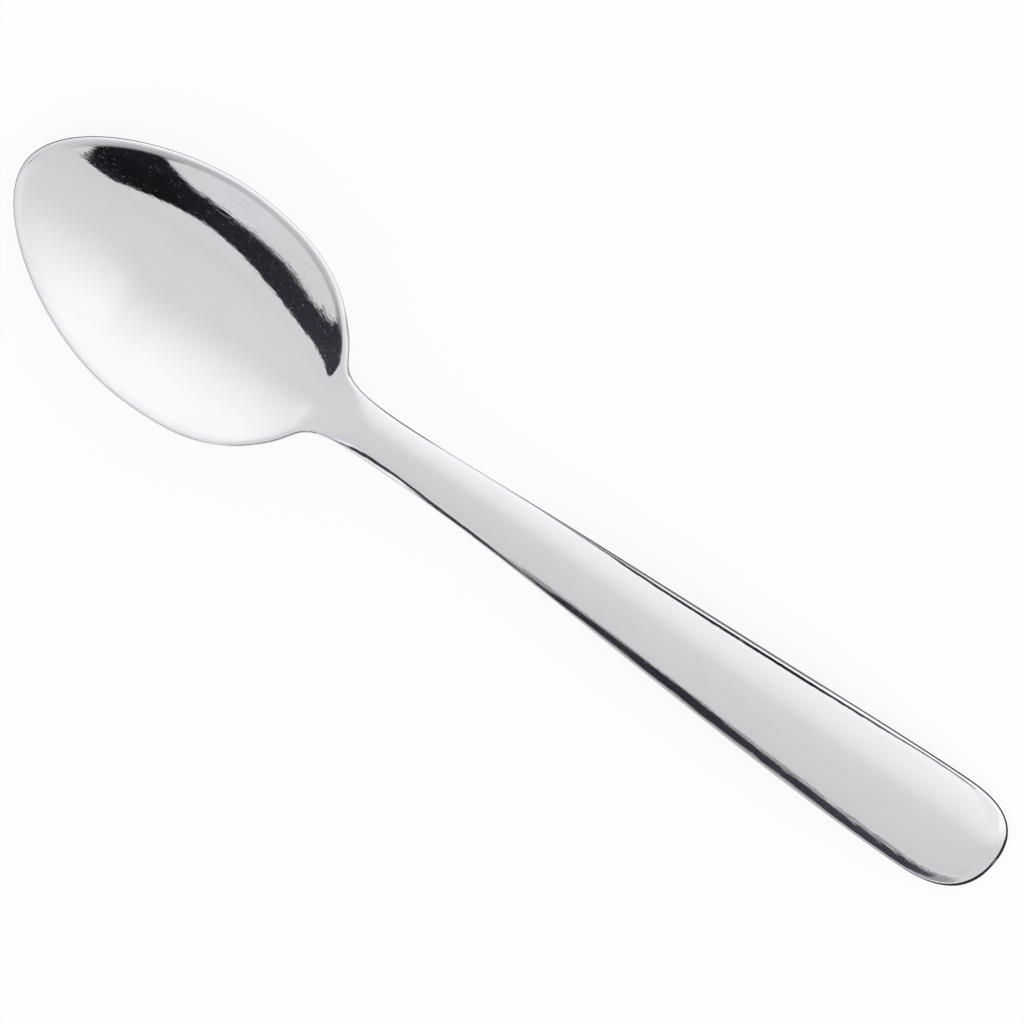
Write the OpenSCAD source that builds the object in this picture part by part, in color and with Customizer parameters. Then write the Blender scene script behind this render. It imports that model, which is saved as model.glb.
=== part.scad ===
// Teaspoon of polished sheet steel. The real one is stamped in one piece, and its three
// worked sections are the sub-parts here: the bowl with its rim, heel and shoulders, the
// thick narrow neck, and the handle with its crowned face and round end.
//
// X runs from the tip of the bowl to the end of the handle, Y goes across, and Z is up.
// The spoon lies on a table at Z = 0, on the floor of its bowl and the end of its handle,
// with the middle of its length at X = 0.
//
// The steel is drawn as its middle surface. An outline seen from above gives each station
// its half width, and a side line gives the height of its two edges. Between them the
// section dips into the bowl or rises to the crown. The two faces lie half the thickness
// above and below that surface, and a round closes them smoothly all along the edge.

/* [Overall] */
// Length over all
spoon_len = 155; // [135:1:190]

/* [Bowl] */
// Width of the bowl over its rim
bowl_w = 33; // [26:0.5:42]
// Depth of the bowl's floor below the rim beside it
bowl_depth = 7.7; // [5:0.1:11]
// Distance from the tip to the widest place of the bowl
bowl_wide_at = 27; // [23:0.5:34]
// Thickness of the bowl's wall and rim
bowl_t = 0.7; // [0.5:0.05:1.4]
// How far the rim dips towards the tip
tip_drop = 3.7; // [0.5:0.1:5]

/* [Neck] */
// Distance from the tip to the narrowest place of the neck, where the bowl section ends
neck_at = 57.5; // [53:0.5:66]
// Length of the neck section
neck_len = 16; // [8:0.5:24]
// Width of the neck at its narrowest
neck_w = 6.9; // [5.5:0.1:9]
// Thickness of the neck in its middle
neck_t = 2.6; // [1.6:0.1:3.4]
// Rise of the neck's crest above the depth of the bowl
crest_rise = 2.5; // [0:0.1:4]

/* [Handle] */
// Width of the handle at its widest
handle_w = 15.2; // [11:0.1:20]
// Length of the round end, past the widest place
end_len = 9.7; // [6:0.1:16]
// Thickness of the handle in its middle, near the round end
handle_t = 2; // [1.4:0.1:2.8]
// Thickness of the handle and the neck at their edges
edge_t = 1.1; // [0.8:0.05:1.4]
// Height of the crown across the handle's upper face, where it is widest
crown = 1.5; // [0.5:0.1:3]

/* [Hidden] */

// How finely the surface is divided
tip_steps = 15;
shoulder_steps = 11;
heel_steps = 12;
neck_steps = 6;
shank_steps = 15;
end_steps = 11;
cross_steps = 26;
edge_steps = 6;

// Half widths, and the two stretches that the outline's curves span
bowl_half = bowl_w / 2;
neck_half = neck_w / 2;
handle_half = handle_w / 2;
widest_at = spoon_len - end_len;
handle_at = neck_at + neck_len;
shoulder_run = neck_at - bowl_wide_at;
shoulder_fall = bowl_half - neck_half;
shank_run = widest_at - neck_at;

// Pulls of the outline's curves, as shares of the stretch that each one spans
tip_pull_shares = [0.487, 0.563];
shoulder_share = [0.625, 0.563];
shoulder_pull_shares = [0.346, 0.339];
shoulder_slope_share = [0.131, 0.346];
heel_pull_share = 0.777;
shank_pull_shares = [0.202, 0.755];
end_pull_shares = [0.512, 0.821];

// The point on each shoulder where the outline turns from the bowl towards the neck
shoulder = [bowl_wide_at + shoulder_share.x * shoulder_run,
            bowl_half - shoulder_share.y * shoulder_fall];
shoulder_pull = [shoulder_slope_share.x * shoulder_run, -shoulder_slope_share.y * shoulder_fall];

// The outline of one side, seen from above, in five curves from the tip to the end
tip_curve = [[0, 0], [0, tip_pull_shares[0] * bowl_half],
             [tip_pull_shares[1] * bowl_wide_at, bowl_half], [bowl_wide_at, bowl_half]];
shoulder_curve = [[bowl_wide_at, bowl_half],
                  [bowl_wide_at + shoulder_pull_shares[0] * shoulder_run, bowl_half],
                  shoulder - shoulder_pull, shoulder];
heel_curve = [shoulder, shoulder + heel_pull_share * shoulder_pull,
              [neck_at - shoulder_pull_shares[1] * shoulder_run, neck_half], [neck_at, neck_half]];
shank_curve = [[neck_at, neck_half], [neck_at + shank_pull_shares[0] * shank_run, neck_half],
               [neck_at + shank_pull_shares[1] * shank_run, handle_half], [widest_at, handle_half]];
end_curve = [[widest_at, handle_half], [widest_at + end_pull_shares[0] * end_len, handle_half],
             [spoon_len, end_pull_shares[1] * handle_half], [spoon_len, 0]];

// Side line of the edges: places along the bowl and along the handle, as shares of each,
// with the rim's heights as shares of the dip and the rise, and the handle's of its crest
crest_z = bowl_depth + crest_rise;
front_share = [0.27, 0.08];
belly_share = [0.57, 0.69];
crest_share = 0.9;
shank_line_shares = [[0.147, 0.752], [0.547, 0.519]];

// Where the bowl's dip runs out before the neck, how far back its deepest place lies, how
// softly it runs out, and how straight its walls go up to the rim
dip_end_share = 0.96;
dip_fullness = 2.4;
dip_softness = 2;
wall_straightness = 1.7;

// Where the steel starts to thicken towards the neck, where the crown starts, how its fall
// gathers towards the edges, and how round it runs out at the round end
thicken_share = 0.6;
crown_start_share = 0.75;
crown_power = 3;
crown_end_power = 1.55;
crown_half = handle_half - edge_t / 2;

// Stretch before the neck over which the wall's direction turns upright, for a flat seam
upright_share = 0.25;

// Step along the surface that its slope is taken over
probe_share = 0.00005;
probe = probe_share * spoon_len;

function unit(v) = v / norm(v);

// Smooth step from 0 to 1 between two places
function ease(from, to, x) =
    let (u = max(0, min(1, (x - from) / (to - from))))
    u * u * u * (u * (6 * u - 15) + 10);

function bezier(p, t) =
    pow(1 - t, 3) * p[0] + 3 * pow(1 - t, 2) * t * p[1]
    + 3 * (1 - t) * t * t * p[2] + pow(t, 3) * p[3];

function bezier_dir(p, t) =
    unit(pow(1 - t, 2) * (p[1] - p[0]) + 2 * (1 - t) * t * (p[2] - p[1]) + t * t * (p[3] - p[2]));

// Where along a curve that always runs forward its X reaches a place
function bezier_at(p, x, low = 0, high = 1, tries = 40) =
    let (middle = (low + high) / 2)
    tries == 0 ? middle
    : bezier(p, middle).x < x ? bezier_at(p, x, middle, high, tries - 1)
    : bezier_at(p, x, low, middle, tries - 1);

// Smooth curve through points: the bends at the points by a forward and a back sweep
function back_sweep(c, d, i, bends = [0]) =
    i < 0 ? bends : back_sweep(c, d, i - 1, concat([d[i] - c[i] * bends[0]], bends));
function bends_of(p, i = 1, c = [0], d = [0]) =
    i > len(p) - 2 ? back_sweep(c, d, i - 1)
    : let (before = p[i].x - p[i - 1].x, after = p[i + 1].x - p[i].x,
           turn = 6 * ((p[i + 1].y - p[i].y) / after - (p[i].y - p[i - 1].y) / before),
           w = 2 * (before + after) - before * c[i - 1])
      bends_of(p, i + 1, concat(c, [after / w]), concat(d, [(turn - before * d[i - 1]) / w]));
function span_of(p, x, i = 0) = i > len(p) - 3 || x < p[i + 1].x ? i : span_of(p, x, i + 1);
function curve_through(p, bends, x) =
    let (i = span_of(p, x), w = p[i + 1].x - p[i].x,
         a = (p[i + 1].x - x) / w, b = (x - p[i].x) / w)
    a * p[i].y + b * p[i + 1].y
    + ((pow(a, 3) - a) * bends[i] + (pow(b, 3) - b) * bends[i + 1]) * w * w / 6;

// Height of the edges along the spoon, with the handle's end at a given height
function edge_points(end_z) = concat(
    [[0, bowl_depth - tip_drop],
     [front_share.x * neck_at, bowl_depth - front_share.y * tip_drop],
     [belly_share.x * neck_at, bowl_depth + belly_share.y * crest_rise],
     [crest_share * neck_at, crest_z]],
    [for (s = shank_line_shares) [neck_at + s.x * (spoon_len - neck_at), s.y * crest_z]],
    [[spoon_len, end_z]]);

// How deep the bowl is below its edges: 1 at its deepest, 0 at the tip and at the heel
fullest = pow(1 / (1 + dip_softness * dip_fullness), 1 / dip_fullness);
function hollow(u) = u * pow(1 - pow(u, dip_fullness), dip_softness);
function dip(x) =
    let (u = max(0, min(1, x / (dip_end_share * neck_at))))
    bowl_depth * hollow(u) / hollow(fullest);

// Share of its dip that a section has at a share v of its half width, and how it slopes
function dip_share(v) =
    1 - (sqrt(1 + wall_straightness * v * v) - 1) / (sqrt(1 + wall_straightness) - 1);
function dip_slope(v) =
    -wall_straightness * v / sqrt(1 + wall_straightness * v * v)
    / (sqrt(1 + wall_straightness) - 1);

// What a section keeps of its swelling at the round end: all of it until the widest place
function end_share(x, half) =
    x < widest_at ? 1
    : 1 - pow(1 - pow(min(1, half / crown_half), 2), crown_end_power);

// Rise of the upper face's middle above its edges, in step with the width of the section
function crown_rise(x, half) =
    crown * ease(crown_start_share * neck_at, neck_at, x)
    * (x < widest_at ? half / crown_half : end_share(x, half));
function crown_share(v) = 1 - pow(abs(v), crown_power);
function crown_slope(v) = -crown_power * sign(v) * pow(abs(v), crown_power - 1);

// Thickness at the edges, and how much more of it there is in the middle
function edge_thickness(x) =
    bowl_t + (edge_t - bowl_t) * ease(thicken_share * neck_at, crest_share * neck_at, x);
function swelling(x, half) =
    end_share(x, half)
    * ((neck_t - edge_t) * ease(thicken_share * neck_at, crest_share * neck_at, x)
       + (handle_t - neck_t) * ease(neck_at, widest_at, x));
function thickness(x, half, v) = edge_thickness(x) + swelling(x, half) * crown_share(v);

// Height of the middle surface above the side line, and its slope from the middle outwards
function rise(x, half, v) =
    (crown_rise(x, half) - swelling(x, half) / 2) * crown_share(v) - dip(x) * dip_share(v);
function rise_slope(x, half, v) =
    (crown_rise(x, half) - swelling(x, half) / 2) * crown_slope(v) - dip(x) * dip_slope(v);

// The lowest place of the bowl's floor, found first, so that the handle's end is level with it
first_line = edge_points(edge_t / 2);
first_bends = bends_of(first_line);
lowest = min([for (i = [1:cross_steps * tip_steps])
    let (x = i / (cross_steps * tip_steps) * crown_start_share * neck_at)
    curve_through(first_line, first_bends, x) + rise(x, bowl_half, 0)
    - thickness(x, bowl_half, 0) / 2]);
edge_line = edge_points(edge_t / 2 + lowest);
edge_bends = bends_of(edge_line);

function height(x, half, v) = curve_through(edge_line, edge_bends, x) + rise(x, half, v);

// Share of the surface's own slope that the wall's direction keeps along X: all of it at
// the tip and at the round end, none of it at the seams, which so stay flat
function lean(x) =
    1 - ease((1 - upright_share) * neck_at, neck_at, x)
    + ease(widest_at - end_len, widest_at, x);

// Direction square to the middle surface, at a share v across it
function square_to(mid, dir, v) =
    let (ahead = mid + probe * dir, behind = mid - probe * dir,
         along = (height(ahead.x, ahead.y, v) - height(behind.x, behind.y, v)) / (2 * probe),
         across = rise_slope(mid.x, mid.y, v),
         n = unit([dir.y * v * across - along * mid.y, -dir.x * across, dir.x * mid.y]))
    unit([lean(mid.x) * n.x, n.y, n.z]);

// The same at the two ends of the spoon, where a section has no width
function square_at_end(mid, side) =
    let (inner = mid.x - side * probe,
         slope = (height(mid.x, 0, 0) - height(inner, 0, 0)) / (mid.x - inner))
    unit([-slope, 0, 1]);

// Angle by which the two faces close towards an edge, where the section thins
function closing(mid, v) =
    asin(-swelling(mid.x, mid.y) * crown_slope(v)
         / (2 * norm([mid.y, rise_slope(mid.x, mid.y, v)])));

function level_out(out, up) = unit(out - (out * up) * up);
function turned(up, out, angle) = cos(angle) * up + sin(angle) * out;

// The round at an edge, from the upper face to the lower one
function edge_round(at, half_t, up, out, angle) =
    [for (k = [1:edge_steps - 1])
        at + half_t * turned(up, out, angle + (180 - 2 * angle) * k / edge_steps)];

function mirrored(p) = [p.x, -p.y, p.z];

// Closed ring of points of the section where the outline has a place and a direction
function ring(place, dir) =
    let (edge_half = edge_thickness(place.x) / 2,
         mid = place + edge_half * [dir.y, -dir.x],
         is_end = mid.y < probe,
         side = dir.x + dir.y > 0 ? -1 : 1,
         half = is_end ? 0 : mid.y,
         shares = [for (j = [0:cross_steps]) 2 * j / cross_steps - 1],
         halves = [for (v = shares) thickness(mid.x, half, v) / 2],
         angles = [for (v = shares) is_end ? 0 : closing(mid, v)],
         ups = [for (v = shares) is_end ? square_at_end(mid, side) : square_to(mid, dir, v)],
         outs = [for (j = [0:cross_steps]) is_end ? [-side, 0, 0]
             : level_out([-lean(mid.x) * dir.y * shares[j], dir.x, 0], ups[j])],
         at = [for (v = shares) [mid.x, v * half, height(mid.x, half, v)]],
         last = cross_steps,
         out = level_out([-lean(mid.x) * dir.y, dir.x, 0], ups[last]),
         edge = edge_round(at[last], edge_half, ups[last], out, angles[last]))
    concat([for (j = [0:last]) at[j] + halves[j] * turned(ups[j], outs[j], angles[j])],
           edge,
           [for (j = [last:-1:0]) at[j] - halves[j] * turned(ups[j], outs[j], -angles[j])],
           [for (k = [edge_steps - 2:-1:0]) mirrored(edge[k])]);

function rings(curve, steps, from = 0, to = 1) =
    [for (i = [0:steps]) let (t = from + (to - from) * i / steps)
        ring(bezier(curve, t), bezier_dir(curve, t))];
function without_first(list) = [for (i = [1:len(list) - 1]) list[i]];

// Solid through a row of rings, closed by a flat seam at each end that has a width
ring_size = 2 * (cross_steps + edge_steps);
function index_of(row, j) = row * ring_size + j % ring_size;
function has_width(row) = norm(row[0] - row[cross_steps]) > probe;
function flipped(faces) = [for (f = faces) [f[2], f[1], f[0]]];
function seam_faces(row) =
    let (last = 2 * cross_steps + edge_steps)
    concat([for (j = [0:cross_steps - 1]) each [
                [index_of(row, j), index_of(row, j + 1), index_of(row, last - j - 1)],
                [index_of(row, j), index_of(row, last - j - 1), index_of(row, last - j)]]],
           [for (k = [1:edge_steps - 1])
                [index_of(row, cross_steps), index_of(row, cross_steps + k),
                 index_of(row, cross_steps + k + 1)]],
           [for (k = [0:edge_steps - 2])
                [index_of(row, 0), index_of(row, last + k), index_of(row, last + k + 1)]]);
function side_faces(rows) =
    [for (i = [0:rows - 2], j = [0:ring_size - 1]) each [
        [index_of(i, j), index_of(i, j + 1), index_of(i + 1, j + 1)],
        [index_of(i, j), index_of(i + 1, j + 1), index_of(i + 1, j)]]];

module loft(rows) {
    points = [for (r = rows) each r];
    last = len(rows) - 1;
    faces = concat(side_faces(len(rows)),
                   has_width(rows[0]) ? flipped(seam_faces(0)) : [],
                   has_width(rows[last]) ? seam_faces(last) : []);
    solid_faces = [for (f = faces)
        if (points[f[0]] != points[f[1]] && points[f[1]] != points[f[2]]
            && points[f[2]] != points[f[0]]) f];
    translate([-spoon_len / 2, 0, -lowest]) polyhedron(points, solid_faces, convexity = 4);
}

seam_at = bezier_at(shank_curve, handle_at);

// Bowl: the hollow with its thin round rim, the two shoulders and the heel that thickens
module bowl() {
    color("silver") loft(concat(
        rings(tip_curve, tip_steps),
        without_first(rings(shoulder_curve, shoulder_steps)),
        without_first(rings(heel_curve, heel_steps))));
}

// Neck: the narrow, thick stretch that takes the bending
module neck() {
    color("gainsboro") loft(rings(shank_curve, neck_steps, 0, seam_at));
}

// Handle: widens and thins towards its round end, with a softly crowned face
module handle() {
    color("lightgray") loft(concat(
        rings(shank_curve, shank_steps, seam_at, 1),
        without_first(rings(end_curve, end_steps))));
}

bowl();
neck();
handle();
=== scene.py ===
import math

import bpy
from mathutils import Matrix, Vector
from mathutils.kdtree import KDTree


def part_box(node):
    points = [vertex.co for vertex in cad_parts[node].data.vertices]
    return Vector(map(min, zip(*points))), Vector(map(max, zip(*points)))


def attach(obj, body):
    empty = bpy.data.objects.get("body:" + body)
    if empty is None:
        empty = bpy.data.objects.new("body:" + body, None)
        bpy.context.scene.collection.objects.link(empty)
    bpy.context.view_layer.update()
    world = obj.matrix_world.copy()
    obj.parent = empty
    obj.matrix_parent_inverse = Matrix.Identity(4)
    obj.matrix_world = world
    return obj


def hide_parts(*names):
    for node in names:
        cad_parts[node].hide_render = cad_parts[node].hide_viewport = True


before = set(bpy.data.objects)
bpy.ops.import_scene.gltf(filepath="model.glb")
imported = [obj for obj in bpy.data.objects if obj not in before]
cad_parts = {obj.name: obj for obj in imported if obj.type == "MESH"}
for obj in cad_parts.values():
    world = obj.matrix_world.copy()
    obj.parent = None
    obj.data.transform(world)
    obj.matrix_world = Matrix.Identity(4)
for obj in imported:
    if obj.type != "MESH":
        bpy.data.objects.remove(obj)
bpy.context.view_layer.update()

mm = 0.001


def deselectAll():
    if bpy.context.mode != "OBJECT":
        bpy.ops.object.mode_set(mode="OBJECT")
    bpy.ops.object.select_all(action="DESELECT")


# Shader sums: a wire is one socket's value, and sums on wires add the nodes that work them out

def addNode(tree, kind, settings, values, output=0):
    node = tree.nodes.new(kind)
    for name, setting in settings.items():
        if name == "stops":
            setStops(node.color_ramp, setting)
        else:
            setattr(node, name, setting)
    for name, value in values.items():
        if isinstance(value, Wire):
            tree.links.new(value.socket, node.inputs[name])
        else:
            node.inputs[name].default_value = value
    return Wire(tree, node.outputs[output]) if node.outputs else None


def setStops(ramp, stops):
    while len(ramp.elements) < len(stops):
        ramp.elements.new(1)
    for element, (place, tone) in zip(ramp.elements, stops):
        element.position = place
        element.color = (tone, tone, tone, 1)


class Wire:
    def __init__(self, tree, socket):
        self.tree = tree
        self.socket = socket

    def sum(self, operation, first, second=0):
        return addNode(self.tree, "ShaderNodeMath", {"operation": operation}, {0: first, 1: second})

    def __add__(self, other):
        return self.sum("ADD", self, other)

    def __radd__(self, other):
        return self.sum("ADD", other, self)

    def __sub__(self, other):
        return self.sum("SUBTRACT", self, other)

    def __rsub__(self, other):
        return self.sum("SUBTRACT", other, self)

    def __mul__(self, other):
        return self.sum("MULTIPLY", self, other)

    def __rmul__(self, other):
        return self.sum("MULTIPLY", other, self)

    def least(self, other):
        return self.sum("MINIMUM", self, other)

    def most(self, other):
        return self.sum("MAXIMUM", self, other)

    def size(self):
        return self.sum("ABSOLUTE", self)

    # Smooth step from 0 to 1 while the value goes from one place to another
    def step(self, start, end):
        return addNode(self.tree, "ShaderNodeMapRange", {"interpolation_type": "SMOOTHSTEP"},
                       {"Value": self, "From Min": start, "From Max": end})

    # Tone along a row of stops, each a place and its tone
    def curve(self, stops):
        start, end = stops[0][0], stops[-1][0]
        share = addNode(self.tree, "ShaderNodeMapRange", {},
                        {"Value": self, "From Min": start, "From Max": end})
        places = [((place - start) / (end - start), tone) for place, tone in stops]
        return addNode(self.tree, "ShaderNodeValToRGB", {"stops": places}, {"Fac": share})

    def part(self, axis):
        return addNode(self.tree, "ShaderNodeSeparateXYZ", {}, {0: self}, "XYZ"[axis])

    def scaled(self, factors):
        return addNode(self.tree, "ShaderNodeVectorMath", {"operation": "MULTIPLY"},
                       {0: self, 1: factors})

    def noise(self, detail, roughness):
        return addNode(self.tree, "ShaderNodeTexNoise", {},
                       {"Vector": self, "Scale": 1, "Detail": detail, "Roughness": roughness})


def freshTree(owner):
    owner.use_nodes = True
    owner.node_tree.nodes.clear()
    return owner.node_tree


# The spoon: its three sections joined into the one seamless piece that it really is

spoonValues = {
    "sections": ("bowl", "neck", "handle"),
    "weldDist": 0.001 * mm,
    "seamSlack": 0.01 * mm,     # how far from a seam's plane its faces may lie
    "quadFlat": 60,             # degrees that two triangles of one quad may fold
    "quadSkew": 120,            # and that its corners may be off square
    "smoothLevels": 2,
}


def copySection(name):
    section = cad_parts[name].copy()
    section.data = section.data.copy()
    section.parent = None
    bpy.context.scene.collection.objects.link(section)
    return section


def buildSpoon(values):
    copies = [copySection(name) for name in values["sections"]]
    seams = [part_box(name)[1].x for name in values["sections"][:-1]]
    deselectAll()
    for section in copies:
        section.select_set(True)
    bpy.context.view_layer.objects.active = copies[0]
    bpy.ops.object.join()
    spoon = bpy.context.view_layer.objects.active
    spoon.name = "spoon"
    spoon.data.name = "spoon"
    bpy.ops.mesh.customdata_custom_splitnormals_clear()
    bpy.ops.object.mode_set(mode="EDIT")
    bpy.ops.mesh.select_all(action="SELECT")
    bpy.ops.mesh.remove_doubles(threshold=values["weldDist"])
    bpy.ops.mesh.select_all(action="DESELECT")
    bpy.ops.object.mode_set(mode="OBJECT")
    for face in spoon.data.polygons:   # the faces left standing inside, at the two seams
        places = [spoon.data.vertices[v].co.x for v in face.vertices]
        face.select = any(all(abs(x - seam) < values["seamSlack"] for x in places) for seam in seams)
    bpy.ops.object.mode_set(mode="EDIT")
    bpy.ops.mesh.delete(type="ONLY_FACE")
    bpy.ops.mesh.select_all(action="SELECT")
    bpy.ops.mesh.tris_convert_to_quads(face_threshold=math.radians(values["quadFlat"]),
                                       shape_threshold=math.radians(values["quadSkew"]))
    bpy.ops.object.mode_set(mode="OBJECT")
    print("spoon cage:", len(spoon.data.vertices), "points,", len(spoon.data.polygons), "faces,",
          sum(len(face.vertices) == 3 for face in spoon.data.polygons), "of them triangles")
    smooth = spoon.modifiers.new("smooth", "SUBSURF")
    smooth.levels = smooth.render_levels = values["smoothLevels"]
    bpy.ops.object.modifier_apply(modifier=smooth.name)
    bpy.ops.object.shade_smooth()
    print("spoon:", len(spoon.data.polygons), "faces")
    return spoon


# The rim of the bowl, a narrow band just inside its outline, is less polished than the faces.
# Each point of the spoon keeps its share of it, from 0 to 1.

rimValues = {
    "steepest": 0.35,           # the outline is where the surface stands upright
    "outside": 0.3 * mm,        # over this width the outline itself keeps its polish
    "inside": (0.85 * mm, 1.4 * mm),    # where the band ends
    "spacing": 0.1 * mm,        # between the places kept along the outline
    "fade": (-38 * mm, -28 * mm),       # where the band runs out into the shoulders
}


def markRim(spoon, values):
    points = spoon.data.vertices
    steep = [abs(point.normal.z) < values["steepest"] for point in points]
    outline = []
    for edge in spoon.data.edges:
        if all(steep[v] for v in edge.vertices):
            start, end = [points[v].co for v in edge.vertices]
            pieces = math.ceil((end - start).length / values["spacing"])
            outline += [start.lerp(end, piece / pieces) for piece in range(pieces + 1)]
    tree = KDTree(len(outline))
    for number, place in enumerate(outline):
        tree.insert((place.x, place.y, 0), number)
    tree.balance()
    rim = spoon.data.attributes.new("rim", "FLOAT", "POINT")
    near, far = values["inside"]
    start, end = values["fade"]
    for number, point in enumerate(points):
        away = tree.find((point.co.x, point.co.y, 0))[2]
        share = min(1, max(0, (far - away) / (far - near)), away / values["outside"])
        rim.data[number].value = share * min(1, max(0, (end - point.co.x) / (end - start)))
    print("rim:", len(outline), "places on the outline")


spoon = buildSpoon(spoonValues)
markRim(spoon, rimValues)
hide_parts(*spoonValues["sections"])
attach(spoon, "root")


# The steel: a mirror polish with what the wheel leaves, short strokes along the spoon and a faint
# waviness, and the haze, specks and wipe marks of use. A pattern is its grain's size along, across
# and up in mm, its detail and its roughness. A range is where its noise starts and ends to show.

steelValues = {
    "colour": (0.965, 0.958, 0.985),
    "hazeColour": (0.91, 0.905, 0.935),
    "roughness": 0.025,
    "hazeRoughness": 0.07,
    "speckRoughness": 0.4,
    "rimRoughness": 0.4,
    "hairs": ((2.2, 0.05, 0.05), 3, 0.6),      # they break up the haze
    "hairRange": (0.35, 0.7),
    "haze": ((9, 3.5, 3.5), 4, 0.6),
    "hazeRange": (0.45, 0.75),
    "specks": ((0.22, 0.16, 0.16), 1, 0.5),
    "speckRange": (0.74, 0.80),
    "wisps": ((1.5, 0.14, 0.14), 2, 0.6),      # wipe marks
    "wispRange": (0.64, 0.76),
    "wispShare": 0.6,                          # how rough they are, of a speck's roughness
    "strokes": ((1.8, 0.3, 0.3), 2, 0.5),
    "strokeHeight": 0.003,                     # mm
    "waves": ((7, 1.6, 1.6), 2, 0.5),
    "waveHeight": 0.003,                       # mm
}


def buildSteel(values):
    steel = bpy.data.materials.new("polished_steel")
    tree = freshTree(steel)
    place = addNode(tree, "ShaderNodeTexCoord", {}, {}, "Object")

    def pattern(name):
        size, detail, roughness = values[name]
        return place.scaled([1 / (length * mm) for length in size]).noise(detail, roughness)

    dull = pattern("haze").step(*values["hazeRange"]) * pattern("hairs").step(*values["hairRange"])
    specks = pattern("specks").step(*values["speckRange"])
    wisps = pattern("wisps").step(*values["wispRange"])
    relief = pattern("strokes") * values["strokeHeight"] + pattern("waves") * values["waveHeight"]
    bump = addNode(tree, "ShaderNodeBump", {}, {"Strength": 1, "Distance": mm, "Height": relief})
    colour = addNode(tree, "ShaderNodeMix", {"data_type": "RGBA"},
                     {0: dull, 6: (*values["colour"], 1), 7: (*values["hazeColour"], 1)}, 2)
    rim = addNode(tree, "ShaderNodeAttribute", {"attribute_name": "rim"}, {}, "Fac")
    roughness = values["roughness"] + (values["hazeRoughness"] - values["roughness"]) * dull
    marked = (specks + values["wispShare"] * wisps).least(1)
    roughness = roughness + (values["speckRoughness"] - roughness) * marked
    roughness = roughness + (values["rimRoughness"] - roughness) * rim
    shader = addNode(tree, "ShaderNodeBsdfPrincipled", {}, {
        "Base Color": colour, "Metallic": 1, "Roughness": roughness, "Normal": bump})
    addNode(tree, "ShaderNodeOutputMaterial", {}, {0: shader})
    print("steel:", len(tree.nodes), "nodes")
    return steel


spoon.data.materials.clear()
spoon.data.materials.append(buildSteel(steelValues))


# The floor: white to the eye and in the steel, and a matt ground that keeps the spoon's shadow. Close
# beside the spoon, the steel instead mirrors a painted shadow on it: a darker emission tone that only
# glossy rays see

floorValues = {
    "size": 4.0,
    "colour": 0.9,
    "whiteTone": 1.03,
    "seenWhite": 0.86,          # share of plain white in what the camera sees of the floor
    "mirroredWhite": 0.45,      # and in what the steel mirrors of it
    # Sizes in mm. The painted shadow that the steel mirrors close beside the spoon: its tone at places
    # along it,
    "paintedShadeStops": ((-140, 0.03), (-60, 0.03), (-45, 0.2), (-30, 0.5), (-24, 0.5), (-21, 0.04),
                   (-15, 0.04), (-12, 0.6), (-4, 0.6), (1, 0.2), (10, 0.05), (30, 0.03),
                   (140, 0.03)),
    "paintedShadeAcross": (14, 34),    # and where it runs out, from the middle line
    "paintedShadeAlong": (160, 200),   # and from the spoon's middle
}


def buildFloorWhiteAndPaintedShade(values):
    material = bpy.data.materials.new("floor")
    tree = freshTree(material)
    cameraRay = addNode(tree, "ShaderNodeLightPath", {}, {}, "Is Camera Ray")
    glossyRay = addNode(tree, "ShaderNodeLightPath", {}, {}, "Is Glossy Ray")
    place = addNode(tree, "ShaderNodeTexCoord", {}, {}, "Object").scaled([1 / mm] * 3)
    along, across = place.part(0), place.part(1)
    # Painted shadow: near the spoon, glossy rays see the floor as a darker emission tone in place of its
    # white, standing in for the spoon's shade on the floor
    inWidth = 1 - across.size().step(*values["paintedShadeAcross"])
    inLength = 1 - along.size().step(*values["paintedShadeAlong"])
    inPaintedShade = inWidth * inLength * glossyRay
    paintedShade = along.curve(values["paintedShadeStops"])
    tone = values["whiteTone"] + (paintedShade - values["whiteTone"]) * inPaintedShade
    matt = addNode(tree, "ShaderNodeBsdfDiffuse", {}, {"Color": (*[values["colour"]] * 3, 1)})
    white = addNode(tree, "ShaderNodeEmission", {}, {"Color": tone})
    share = cameraRay * values["seenWhite"] + glossyRay * values["mirroredWhite"]
    share = share + (1 - share) * inPaintedShade
    shown = addNode(tree, "ShaderNodeMixShader", {}, {0: share, 1: matt, 2: white})
    addNode(tree, "ShaderNodeOutputMaterial", {}, {0: shown})
    return material


def buildFloor(values):
    deselectAll()
    bpy.ops.mesh.primitive_plane_add(size=values["size"], location=(0, 0, 0))
    floor = bpy.context.view_layer.objects.active
    floor.name = "floor"
    floor.data.materials.append(buildFloorWhiteAndPaintedShade(values))
    print("floor:", values["size"], "m wide")


buildFloor(floorValues)


# The surroundings: a light room, brighter on the spoon's far side

worldValues = {
    "nearTone": 0.655,
    "farTone": 0.98,
    "across": (-0.2, 0.45),     # directions across over which the room brightens
}


def buildWorld(values):
    world = bpy.data.worlds.new("surroundings")
    bpy.context.scene.world = world
    tree = freshTree(world)
    across = addNode(tree, "ShaderNodeTexCoord", {}, {}, "Generated").part(1)
    tone = values["nearTone"] + (values["farTone"] - values["nearTone"]) * across.step(*values["across"])
    cameraRay = addNode(tree, "ShaderNodeLightPath", {}, {}, "Is Camera Ray")
    light = addNode(tree, "ShaderNodeBackground", {}, {"Color": tone + (1 - tone) * cameraRay})
    addNode(tree, "ShaderNodeOutputWorld", {}, {0: light})
    print("surroundings: tone", values["nearTone"], "to", values["farTone"])


buildWorld(worldValues)


# The studio, which only the steel sees: a light panel over the spoon and cards at its sides

def seenInSteelOnly(panel):
    panel.visible_camera = False
    panel.visible_diffuse = False
    panel.visible_shadow = False


# Sizes in mm. The panel's tone rises across it, for the bowl further out than for the handle.

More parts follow.
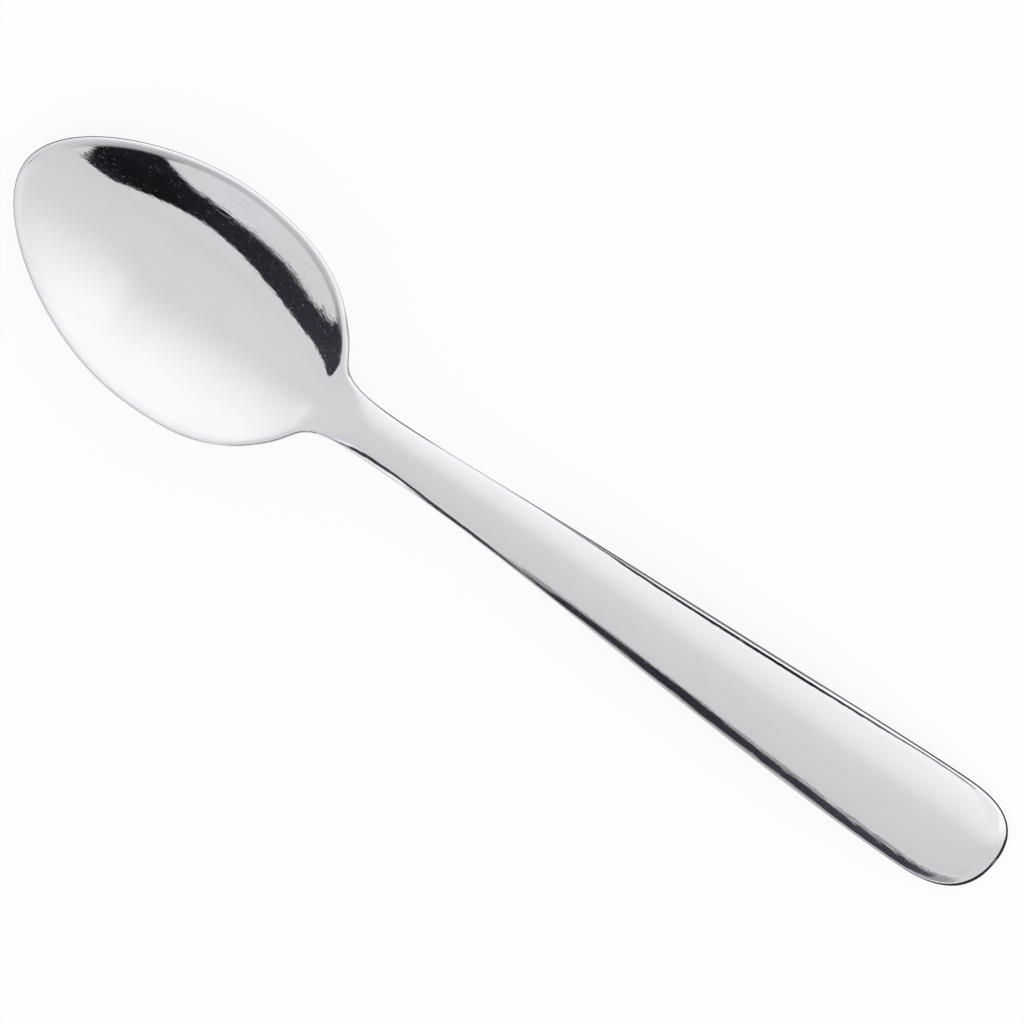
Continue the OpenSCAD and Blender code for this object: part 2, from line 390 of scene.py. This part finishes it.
panelValues = {
    "height": 100,
    "along": (-300, 240),
    "across": (-150, 150),
    "bowlStops": ((-140, 0.63), (-90, 0.655), (-40, 0.67), (18, 0.675), (40, 0.722), (60, 0.816),
                  (80, 0.907), (95, 0.97), (110, 0.996)),
    "bowlFrom": -65,            # past this place towards the tip the bowl's rise starts earlier
    "bowlReach": 90,            # and over so far it grows
    "bowlSlant": 0.42,
    "tipRise": 18,              # by so much more it starts earlier for the tip
    "tipFrom": (-53, -43),
    "handleStops": ((-110, 0.615), (-60, 0.64), (-36, 0.648), (-22, 0.69), (-10, 0.748), (0, 0.79),
                    (20, 0.838), (45, 0.874), (70, 0.89), (90, 0.93)),
    "handleFrom": 40,
    "handleSlant": -0.08,
    "endTone": 0.84,            # the brightest tone past the handle's end
    "endFrom": (105, 150),
    "turn": (-48, -12),         # where the bowl's tones go over into the handle's
}


def buildPanelLight(values):
    material = bpy.data.materials.new("panel")
    tree = freshTree(material)
    place = addNode(tree, "ShaderNodeNewGeometry", {}, {}, "Position").scaled([1 / mm] * 3)
    along, across = place.part(0), place.part(1)
    bowlEarly = values["bowlSlant"] * (values["bowlFrom"] - along).most(0).least(values["bowlReach"])
    bowlEarly = bowlEarly + values["tipRise"] * along.step(*values["tipFrom"])
    handleEarly = values["handleSlant"] * (values["handleFrom"] - along).most(0)
    forBowl = (across + bowlEarly).curve(values["bowlStops"])
    forHandle = (across + handleEarly).curve(values["handleStops"])
    brightest = 1 + (values["endTone"] - 1) * along.step(*values["endFrom"])
    tone = (forBowl + (forHandle - forBowl) * along.step(*values["turn"])).least(brightest)
    light = addNode(tree, "ShaderNodeEmission", {}, {"Color": tone})
    addNode(tree, "ShaderNodeOutputMaterial", {}, {0: light})
    return material


def buildPanel(values):
    left, right = values["along"]
    front, back = values["across"]
    centre = ((left + right) / 2 * mm, (front + back) / 2 * mm, values["height"] * mm)
    deselectAll()
    bpy.ops.mesh.primitive_plane_add(size=mm, location=centre)
    panel = bpy.context.view_layer.objects.active
    panel.name = "panel"
    panel.scale = (right - left, back - front, 1)
    panel.data.materials.append(buildPanelLight(values))
    seenInSteelOnly(panel)
    print("panel:", right - left, "by", back - front, "mm")


buildPanel(panelValues)


# Sizes in mm. Each card stands upright along the spoon, at its own distance across. A row is a
# place along, the card's lower and upper edge above the floor there, and its tone.

cardValues = {
    "edge": 6,                  # over so far on each side of an edge its distance is known
    "tints": {"dark": (1, 0.98, 1.22), "plain": (1, 0.98, 1.04)},
    "grainDetail": 3,
    "grainRoughness": 0.6,
    "darkest": 0.2,             # share of its tone that a card keeps where its grain is darkest
    "grainSpread": 1.6,         # and what the grain adds to that
}

cards = {
    "bowlCard": {
        "across": -110, "cover": 1, "soft": 1.2, "fray": (4, 5), "grain": (2, 3), "tint": "dark",
        "rows": ((-176, 24, 46, 0.05), (-164, 24, 46, 0.05), (-152, 24, 55, 0.042),
                 (-145, 25, 58, 0.038), (-137, 28, 61, 0.034), (-129, 30, 60.5, 0.03),
                 (-120, 34, 59, 0.028), (-109, 34, 56.5, 0.026), (-97, 31, 54, 0.024),
                 (-85, 27, 49, 0.022), (-79, 24.5, 47, 0.02), (-73, 22, 45, 0.018),
                 (-67, 20, 44, 0.018), (-63, 20, 43.5, 0.017), (-60, 20, 43.5, 0.016),
                 (-57.5, 20, 44, 0.014), (-55, 20.5, 44.3, 0.013), (-53.5, 21, 45, 0.012),
                 (-52, 21, 46, 0.011), (-50.5, 20, 47.5, 0.01), (-49, 22, 46, 0.01)),
    },
    "tipCard": {
        "across": -300, "cover": 1, "soft": 3, "fray": (6, 14), "grain": (5, 8), "tint": "dark",
        "rows": ((-51, 72, 111, 0.012), (-44, 52, 116, 0.01), (-40, 46, 119, 0.009),
                 (-37.5, 43, 121, 0.009), (-35, 14, 123, 0.009), (-30, 10, 126, 0.008),
                 (-26, 10, 132, 0.008), (-20, 10, 139, 0.007), (-14, 10, 149, 0.007),
                 (-8, 10, 160, 0.008), (-4, 10, 169, 0.01), (0, 10, 178, 0.012),
                 (4, 10, 190, 0.014), (8, 10, 198, 0.018), (12, 10, 201, 0.02),
                 (18, 10, 202, 0.02)),
    },
    "neckWhite": {
        "across": -112, "cover": 1, "soft": 1.5, "fray": (2, 2), "grain": (60, 60), "tint": "plain",
        "rows": ((-16, 60, 100, 0.93), (-8, 40, 100, 0.93), (-2, 12, 96, 0.93),
                 (5, 10, 90, 0.93), (13, 8, 60, 0.93)),
    },
    "neckCard": {
        "across": -110, "cover": 1, "soft": 1.5, "fray": (3, 3), "grain": (6, 6), "tint": "plain",
        "rows": ((-8, 28, 68, 0.06), (-2.5, 28, 70, 0.05), (3, 36, 76, 0.05), (8, 46, 80, 0.05),
                 (11, 28, 80, 0.05), (14, 6, 80, 0.05), (20, 6, 78, 0.06)),
    },
    "heelLine": {
        "across": -110, "cover": 1, "soft": 1.5, "fray": (3, 3), "grain": (6, 6), "tint": "plain",
        "rows": ((-22, 104, 138, 0.03), (-15, 104, 138, 0.03), (-9, 104, 138, 0.03)),
    },
    "handleCard": {
        "across": -110, "cover": 1, "soft": 2.5, "fray": (14, 44), "grain": (5, 4), "tint": "dark",
        "rows": ((4, 1, 20, 0.035), (10, 1, 26, 0.035), (18, 2, 31, 0.035), (22, 8, 38, 0.03),
                 (26, 20, 56, 0.03), (31, 23, 68, 0.03), (38, 23, 77, 0.034), (44, 24, 82, 0.027),
                 (52, 22, 85, 0.03), (60, 24, 78, 0.034), (66, 24, 69, 0.034), (72, 23, 66, 0.04),
                 (80, 17, 64, 0.04), (86, 10, 58, 0.045), (94, 8, 52, 0.05), (101, 10, 50, 0.045),
                 (108, 14, 50, 0.055), (120, 18, 46, 0.08), (136, 20, 40, 0.1)),
    },
    "handleHaze": {
        "across": -114, "cover": 0.6, "soft": 6, "fray": (20, 80), "grain": (6, 5), "tint": "dark",
        "rows": ((10, 0, 26, 0.06), (20, 0, 50, 0.06), (28, 0, 80, 0.06), (44, 0, 94, 0.06),
                 (56, 0, 98, 0.06), (68, 0, 92, 0.06), (84, 0, 84, 0.06), (100, 0, 74, 0.06),
                 (120, 0, 64, 0.06), (150, 0, 54, 0.06), (190, 0, 44, 0.06)),
    },
    "edgeCard": {
        "across": 40, "cover": 1, "soft": 1, "fray": (3, 4), "grain": (3, 3), "tint": "plain",
        "rows": ((5, 8, 18, 0.1), (11, 10, 22, 0.1), (16, 17, 30, 0.08), (20, 24, 38, 0.05),
                 (25, 29, 41, 0.04), (31, 30, 42, 0.03), (43, 29.5, 42, 0.02), (56, 30, 40, 0.02),
                 (62, 28, 37, 0.04), (68, 27, 35, 0.08), (74, 20, 30, 0.12), (80, 22, 29, 0.25),
                 (86, 26, 32, 0.4), (93, 28, 33, 0.6)),
    },
    "lowCard": {
        "across": 40, "cover": 1, "soft": 1, "fray": (2, 3), "grain": (3, 3), "tint": "plain",
        "rows": ((2, 1, 10, 0.2), (8, 1, 13, 0.14), (20, 1, 13, 0.1), (34, 1, 12, 0.08),
                 (48, 1, 11, 0.15), (56, 1, 9, 0.3)),
    },
}


# Paper whose edges fray along a grain, and whose tone varies a little with it
def buildCardPaper(name, card, values):
    material = bpy.data.materials.new(name)
    tree = freshTree(material)
    grainAcross, grainUp = card["grain"]
    place = addNode(tree, "ShaderNodeTexCoord", {}, {}, "Object")
    grain = place.scaled((1 / grainAcross / mm, 0, 1 / grainUp / mm))
    grain = grain.noise(values["grainDetail"], values["grainRoughness"])
    inside, tone, fray = [addNode(tree, "ShaderNodeAttribute", {"attribute_name": key}, {}, "Fac")
                          for key in ("inside", "tone", "fray")]
    cover = (inside + (grain - 0.5) * fray).step(-card["soft"], card["soft"]) * card["cover"]
    tone = tone * (values["darkest"] + values["grainSpread"] * grain)
    clear = addNode(tree, "ShaderNodeBsdfTransparent", {}, {})
    paper = addNode(tree, "ShaderNodeEmission", {}, {"Color": tone.scaled(values["tints"][card["tint"]])})
    shown = addNode(tree, "ShaderNodeMixShader", {}, {0: cover, 1: clear, 2: paper})
    addNode(tree, "ShaderNodeOutputMaterial", {}, {0: shown})
    return material


# A grid of four levels: each edge of the card runs in the middle between two of them
def buildCard(name, card, values):
    rows = card["rows"]
    edge = values["edge"]
    deselectAll()
    bpy.ops.mesh.primitive_grid_add(x_subdivisions=len(rows) - 1, y_subdivisions=3, size=1)
    sheet = bpy.context.view_layer.objects.active
    sheet.name = name
    given = {key: sheet.data.attributes.new(key, "FLOAT", "POINT") for key in ("inside", "tone", "fray")}
    for number, (place, lower, upper, tone) in enumerate(rows):
        reach = min(edge, (upper - lower) / 2)
        heights = (lower - edge, lower + reach, upper - reach, upper + edge)
        for level, height in enumerate(heights):
            vertex = level * len(rows) + number
            sheet.data.vertices[vertex].co = (place * mm, card["across"] * mm, height * mm)
            isOutermost = number in (0, len(rows) - 1) or level in (0, 3)
            given["inside"].data[vertex].value = -edge if isOutermost else reach
            given["tone"].data[vertex].value = tone
            given["fray"].data[vertex].value = card["fray"][level // 2]
    sheet.data.materials.append(buildCardPaper(name, card, values))
    seenInSteelOnly(sheet)
    print("card:", name, "of", len(rows), "rows")


for name, card in cards.items():
    buildCard(name, card, cardValues)


# Camera: at the photograph's viewing angle, above the spoon and leaning over its far side

cameraValues = {
    "lookAt": (0, 0, 5 * mm),
    "toCamera": (-0.0739, 0.3026, 0.9502),
    "distance": 600 * mm,
    "roll": -36.18,             # degrees that the spoon's length turns in the picture
    "pxPerMm": 7.797,           # scale of the photograph at the point looked at
    "lookAtPx": (512.2, 523.7),   # where that point lies in the photograph
    "photoPx": 1024,
    "sensor": 36,
    "clipStart": 10 * mm,
}


def buildCamera(values):
    back = Vector(values["toCamera"]).normalized()
    along = Vector((1, 0, 0))
    along = (along - along.dot(back) * back).normalized()
    across = back.cross(along)
    turn = math.radians(values["roll"])
    right = math.cos(turn) * along - math.sin(turn) * across
    up = math.sin(turn) * along + math.cos(turn) * across
    mmPerPx = mm / values["pxPerMm"]
    half = values["photoPx"] / 2
    centre = (Vector(values["lookAt"]) + (half - values["lookAtPx"][0]) * mmPerPx * right
              - (half - values["lookAtPx"][1]) * mmPerPx * up)
    camera = bpy.data.objects.new("camera", bpy.data.cameras.new("camera"))
    bpy.context.scene.collection.objects.link(camera)
    place = centre + values["distance"] * back
    camera.matrix_world = Matrix((
        (right.x, up.x, back.x, place.x), (right.y, up.y, back.y, place.y),
        (right.z, up.z, back.z, place.z), (0, 0, 0, 1)))
    camera.data.sensor_width = values["sensor"]
    camera.data.lens = values["sensor"] * values["distance"] / (values["photoPx"] * mmPerPx)
    camera.data.clip_start = values["clipStart"]
    bpy.context.scene.camera = camera
    print("camera:", round(camera.data.lens), "mm lens")


buildCamera(cameraValues)
bpy.context.scene.view_settings.view_transform = "Standard"
